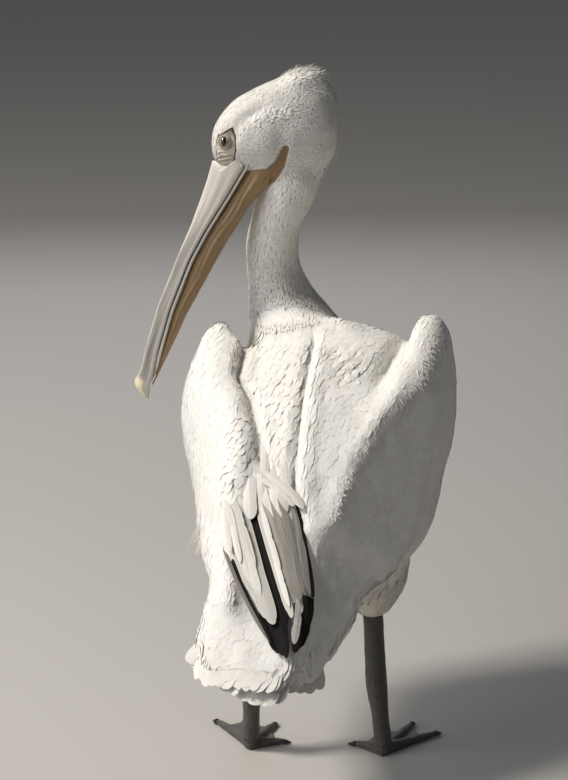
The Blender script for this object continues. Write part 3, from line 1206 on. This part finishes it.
# Lengthwise furrows: one beside the ridge, one above the cutting edge.
furrow = bell(np.abs(side) - 0.40 + 0.16 * outward_share, 0.055)
furrow = (furrow + 0.8 * bell(np.abs(side) - 0.90, 0.030) * (height > 0.3)) * step(0.08, 0.12, t) * (1 - nail)
lines = 0.00022 * np.sin(side * 52 + 2 * np.sin(t * 40)) * above_palate * (1 - nail)
rise = (ridge - edge) * height - 0.0012 * furrow * above_palate + lines
rise += 0.0016 * nail * (height > 0.3) * step(BILL_END, 0.466, t)
on_ridge = 0.8 * bell(side, 0.13) * (height > 0.5)
on_edge = 0.5 * bell(np.abs(side) - 0.985, 0.03) * (height > 0.05)
upper = tube(
    "bill_upper_horn", place_on_bill(t, edge + rise, side * half), horn, "bill_horn",
    on_ridge=np.maximum(on_ridge, on_edge), in_furrow=np.clip(furrow, 0, 1) * 0.6,
    on_nail=nail * step(0.2, 0.6, height), outer_part=step(0.16, 0.27, t + 0.05 * side),
)
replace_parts(upper, "bill_upper")


def rounded_square(wave, power):
    """A sine or cosine pushed out towards -1 and 1, its sign kept: |wave| ** power."""
    return np.sign(wave) * np.abs(wave) ** power


# The lower mandible: a shallow trough of two bars, meeting at the tip, its rim just under the cutting edge.
fine = np.linspace(0, 1, 90)[:, None]
turn = np.linspace(0, 2 * math.pi, 33)[None, :-1]
t = 0.064 + (0.448 - 0.064) * fine
ridge, edge, throat, half = bill_at(t)
tall = np.minimum(0.0065, np.maximum(edge - throat, 0.004) * 0.60) * (0.35 + 0.65 * step(1.0, 0.93, fine))
wide = (half - 0.0008) * (0.25 + 0.75 * step(1.002, 0.90, fine))
across, level = rounded_square(np.cos(turn), 0.45), rounded_square(np.sin(turn), 0.55)
groove = 0.05 * bell(level + 0.05, 0.16)
height = edge - 0.0009 - tall / 2 + level * tall / 2
grid = place_on_bill(t + 0 * turn, height, across * wide * (1 - groove))
tints = dict(on_ridge=0.8 * bell(level - 0.2, 0.5), in_furrow=0.0, on_nail=0.0, outer_part=0.2)
lower = tube("bill_lower_horn", grid, horn, "bill_horn", **tints)
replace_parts(lower, "bill_lower")

# ------------------------------------------------------------------------------------------------
# The pouch. Bare stretchy skin slung between the bars of the lower mandible, hanging empty and
# nearly flat, with fine folds lengthwise; it runs back into the bare skin of the jaw.
# ------------------------------------------------------------------------------------------------
# Pouch skin: ochre, darker in its creases and mottled greyer in broad patches. Soft, a little moist.
pouch_skin, tree, shader = finish("bare pouch skin", 0.5, 1.42, Coat_Weight=0.1, Coat_Roughness=0.35)
crease = grained(tree, 420.0, 14.0)
mottle = ramp(tree, grained(tree, 60.0, 18.0), 0.4, 0.65, 0.6)
paint = blend(tree, mottle, blend(tree, crease, "#8a6c49", "#b39468"), "#a08a6c")
painted(tree, shader, paint, crease, 0.7, 0.0008)

fine = np.linspace(0, 1, 110)[:, None]
turn = np.linspace(0, 2 * math.pi, 73)[None, :-1]
t = 0.052 + (0.452 - 0.052) * fine
ridge, edge, throat, half = bill_at(t)
top = np.maximum(edge - 0.006, throat + 0.002)
middle_level, tall = (top + throat) / 2, (top - throat) / 2
level = np.sin(turn)
across = rounded_square(np.cos(turn), 0.75 - 0.25 * step(0.0, 1.0, level))
belly = 1 - 0.30 * step(0.2, -1.0, level) * step(0.10, 0.20, t)
fold = 0.0009 * np.sin(13 * turn + 3 * np.sin(9 * t) + 1.4 * np.sin(t * 55))
fold = (fold + 0.0006 * np.sin(29 * turn + 12 * t)) * step(0.06, 0.12, t) * step(0.45, 0.40, t)
wide = np.maximum(half - 0.0032, 0.003) * belly * (0.3 + 0.7 * step(1.003, 0.93, fine)) + fold
grid = place_on_bill(t + 0 * turn, middle_level + level * (tall + 0.6 * fold), across * wide)
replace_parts(tube("pouch_skin", grid, pouch_skin, "pouch_skin"), "pouch")

# ------------------------------------------------------------------------------------------------
# The eyes and lids. A glossy ball with a pale iris and small dark pupil, set in a thick ring of bare
# skin; the lids lie on the ball, and soft folds run out from them over the skin round the eye.
# ------------------------------------------------------------------------------------------------
EYE_RADIUS = 0.0112
OPENING = (0.0072, 0.0080)  # half-sizes of the gap between the lids
LID_REACH = (0.0150, 0.0140)  # half-sizes of the ring of folds
LID_TILT = -0.12  # how far the ring is turned round the gaze

# Wet eye: a grey-brown iris flecked at random, a dark rim round it and a black pupil, under a hard gloss.
glass, tree, shader = finish("wet eye", 0.08, 1.38, Coat_Weight=1.0, Coat_Roughness=0.02)
turned = attribute(tree, "from_pupil")
fleck = add(tree, "TexNoise", {"Vector": attribute(tree, "round_iris"), "Scale": 60.0}).outputs["Fac"]
paint = blend(tree, fleck, "#857b64", "#b3a98f")
paint = blend(tree, ramp(tree, turned, 0.72, 0.82), paint, "#5b4e3f")
painted(tree, shader, blend(tree, ramp(tree, turned, 0.42, 0.38), paint, "#0b0a0a"))

# Lid skin: pale and matt with fine pores, dark along the rims and between the folds.
lid_skin, tree, shader = finish("bare skin round the eye", 0.6, 1.42)
spread = {"Vector": add(tree, "TexCoord").outputs["Object"], "Scale": 900.0, "Detail": 3.0}
pores = add(tree, "TexNoise", spread).outputs["Fac"]
paint = blend(tree, attribute(tree, "rim"), blend(tree, pores, "#b3a895", "#d8d0c3"), "#4b4037")
painted(tree, shader, paint, pores, 0.5, 0.0004)

for name, sign in (("left", 1.0), ("right", -1.0)):
    ball = eyes[name]
    gaze = unit(sign * HEAD_LEFT + 0.20 * FACE + 0.02 * UP)
    high = unit(UP - (UP @ gaze) * gaze)
    fore = np.cross(high, gaze) * sign  # along the face, towards the bill
    # The ball: rings round the way it looks, with a cornea standing out by a twentieth.
    theta = np.linspace(0.0, math.pi, 40)[:, None]
    phi = np.linspace(0, 2 * math.pi, 49)[None, :-1]
    radius = EYE_RADIUS * (1 + 0.05 * bell(theta, 0.6))
    look = unit(gaze + 0.20 * high - 0.10 * fore)
    ring = np.cos(phi)[..., None] * fore + np.sin(phi)[..., None] * high
    ring = unit(ring - (ring @ look)[..., None] * look)
    grid = ball + radius[..., None] * (np.cos(theta)[..., None] * look + np.sin(theta)[..., None] * ring)
    theta = theta[1:-1]
    from_pupil = theta * np.hypot(np.cos(phi), 0.58 * np.sin(phi))
    marks = dict(from_pupil=from_pupil, round_iris=np.cos(phi) + 0 * theta)
    eye = tube("eye_ball_" + name, grid[1:-1], glass, "eye", **marks)
    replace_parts(eye, "eye_" + name)

    # The lids: rings from inside the opening, over the rim, out to the skin, and back below.
    turn = np.linspace(0, 2 * math.pi, 97)[None, :-1]
    out = np.linspace(0, 1, 22)[:, None]
    pinch = 1 + 0.10 * np.cos(turn - 0.3) ** 6 + 0.06 * np.cos(turn - 0.3 - math.pi) ** 6
    inner_x, inner_y = OPENING[0] * np.cos(turn) * pinch - 0.0008, OPENING[1] * np.sin(turn) + 0.0022
    outer_x, outer_y = LID_REACH[0] * np.cos(turn), LID_REACH[1] * np.sin(turn) - 0.0006
    x = inner_x + (outer_x - inner_x) * out
    y = inner_y + (outer_y - inner_y) * out
    x, y = np.cos(LID_TILT) * x + np.sin(LID_TILT) * y, np.cos(LID_TILT) * y - np.sin(LID_TILT) * x
    flat = ball + x[..., None] * fore + y[..., None] * high
    on_ball = np.sqrt(np.maximum((EYE_RADIUS * 1.05) ** 2 - x**2 - y**2, 1e-6))
    hits = [coat_tree.ray_cast(p, -gaze, 0.06) for p in (flat + 0.03 * gaze).reshape(-1, 3)]
    on_skin = np.array([0.03 - hit[3] if hit[0] is not None else 0.0 for hit in hits]).reshape(x.shape)
    share = step(0.25, 1.0, out)
    level = on_ball * (1 - share) + (on_skin - 0.0004) * share
    wave = np.cos(out * 26 + 0.8 * np.sin(5 * turn))
    folds = 0.0011 * wave * step(0.2, 0.4, out) * step(1.0, 0.8, out)
    folds = folds * (0.5 + 0.5 * step(0.2, -0.6, np.sin(turn)))
    level = level + 0.0010 * bell(out - 0.10, 0.10) + folds - 0.0016 * step(0.06, 0.0, out)
    level = level - 0.0015 * bell(out - 0.42, 0.10) * step(-0.1, 0.6, np.sin(turn))
    front = flat + level[..., None] * gaze
    grid = np.concatenate([front, front[::-1] - 0.0035 * gaze])
    dark = bell(out - 0.04, 0.07) + 0.55 * bell(out - 0.42, 0.09) * step(0.0, 0.6, np.sin(turn))
    dark = dark + 0.35 * (0.5 - 0.5 * wave) * step(0.2, 0.4, out) * step(1.0, 0.8, out)
    index = np.arange(grid.shape[0] * grid.shape[1]).reshape(grid.shape[:2])
    beside, below = np.roll(index, -1, axis=1), np.roll(index, -1, axis=0)
    quads = np.stack([index, beside, np.roll(beside, -1, axis=0), below], axis=-1).reshape(-1, 4)
    mesh = bpy.data.meshes.new("eyelids_" + name)
    mesh.from_pydata(grid.reshape(-1, 3).tolist(), [], quads.tolist())
    mark(mesh, rim=np.clip(np.concatenate([dark, 0 * dark]), 0, 1))
    opened(mesh, face_outward)
    placed("eyelids_" + name, mesh, lid_skin)

# The crest: short loose spikes over the back of the crown and the nape.
crest_tree = tree_of(copies(["crest"], 0.0))
near_crest = np.array([crest_tree.find_nearest(p)[3] for p in coat_place])
forward, height, side = in_head(coat_place).T
nape = (np.abs(side) < 0.016) & (forward < -0.025) & (height > -0.085)
on_crest = ((near_crest < 0.004) | nape) & (part["head"] + neck > 0.5)
root, spot = roots(on_crest * 1.0, 0.0023)
count = len(root)
vary = rng.random((3, count))
midline = bell(in_head(root)[:, 2], 0.013)
length = 0.008 + (0.006 + 0.006 * midline) * vary[0]
lift = 0.0004 + (0.0006 + 0.0085 * midline) * vary[1] ** 2
sizes = (length, np.full(count, 0.0026), POINTED_VANE, np.full(count, 0.0008), lift, 0.35 * (2 * vary[2] - 1))
crest = feathers("crest_feathers", root, spot, *sizes, white, hold=0.2, tilt=0.08)
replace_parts(crest, "crest")

# ------------------------------------------------------------------------------------------------
# The legs and feet. Lead-grey scaly skin over each shank and its foot: four long toes joined by one
# web, with net-like scales, plates along the toes, and a short horn claw at the end of each.
# ------------------------------------------------------------------------------------------------
# Leg skin: scales 2.3 mm across with dark seams between them, blotched, browner on the web, and dry.
leg_skin, tree, shader = finish("scaly leg skin", 0.5, 1.45, Coat_Weight=0.08, Coat_Roughness=0.4)
where = add(tree, "TexCoord").outputs["Object"]
scales = add(tree, "TexVoronoi", {"Vector": where, "Scale": 430.0}, feature="DISTANCE_TO_EDGE")
blotch = add(tree, "TexNoise", {"Vector": where, "Scale": 60.0, "Detail": 3.0}).outputs["Fac"]
between = ramp(tree, scales.outputs["Distance"], 0.0, 0.14)
paint = blend(tree, between, "#35322f", blend(tree, blotch, "#4a4845", "#6d6963"))
painted(tree, shader, blend(tree, attribute(tree, "on_web"), paint, "#5a544c"), between, 0.6, 0.0006)
for name in ("left", "right"):
    limb = filled(("leg_" + name, "foot_" + name), 0.0014, 0.0, 3)
    place, normal = points_of(limb)
    height = place[:, 2]
    web = step(0.004, 0.002, np.abs(height - 0.004)) * step(0.6, 0.95, np.abs(normal[:, 2])) * (height < 0.030)
    wrinkle = 0.00045 * noise(place * (230, 230, 400), 31) + 0.0005 * noise(place * 90, 32)
    plates = 0.0004 * np.abs(np.sin(height * math.pi / 0.0042)) * step(0.03, 0.05, height)
    move = (wrinkle * step(0.0, 0.002, height) + plates) * (height > 0.0008)
    place = place + move[:, None] * normal
    place[:, 2] = np.maximum(place[:, 2], 0.0)
    move_to(limb, place)
    mark(limb, on_web=0.5 * web)
    leg = placed("leg_skin_" + name, limb, leg_skin)
    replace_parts(leg, "leg_" + name, "foot_" + name)

# Claws: a short cap of dark horn over the end of each toe, its thick rim standing off the skin. Each toe's end
# is found as the farthest point of the foot along the toe's way from the ankle.
claw_horn, tree, shader = finish("claw horn", 0.38)
painted(tree, shader, "#38332d")
TOE_WAYS = {"outer": -30, "middle": -4, "inner": 24, "hind": 78}  # degrees inward from straight ahead
FOOT_TURN = 10  # degrees each foot is turned outward
CLAW = 0.0135  # a claw's length
share = np.array((0.0, 0.02, 0.15, 0.30, 0.45, 0.60, 0.72, 0.84, 0.94, 1.0))  # of the claw's length
radius = 0.0047 - 0.0036 * share**1.4
radius[0] = 0.0034  # the rim is turned in to the skin
phi = np.arange(12) * math.tau / 12
for name, sign in (("left", 1), ("right", -1)):
    shank = points_of(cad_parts["leg_" + name].data)[0]
    ankle = shank[shank[:, 2] < shank[:, 2].min() + 0.001].mean(axis=0)
    foot = points_of(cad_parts["foot_" + name].data)[0] - ankle
    for toe, inward in TOE_WAYS.items():
        angle = sign * math.radians(FOOT_TURN - inward)
        forward = np.array((math.sin(angle), -math.cos(angle), 0.0))
        across = np.cross(forward, UP)
        end = (foot @ forward)[np.abs(foot @ across) < 0.006].max()
        centre = ankle * (1, 1, 0) + (end - CLAW * (1 - share))[:, None] * forward
        centre[:, 2] = 0.0061 - 0.0032 * share
        ring = np.cos(phi)[:, None] * across + np.sin(phi)[:, None] * UP
        grid = centre[:, None] + radius[:, None, None] * ring
        tube("claw_" + name + "_" + toe, grid, claw_horn, "leg_skin")
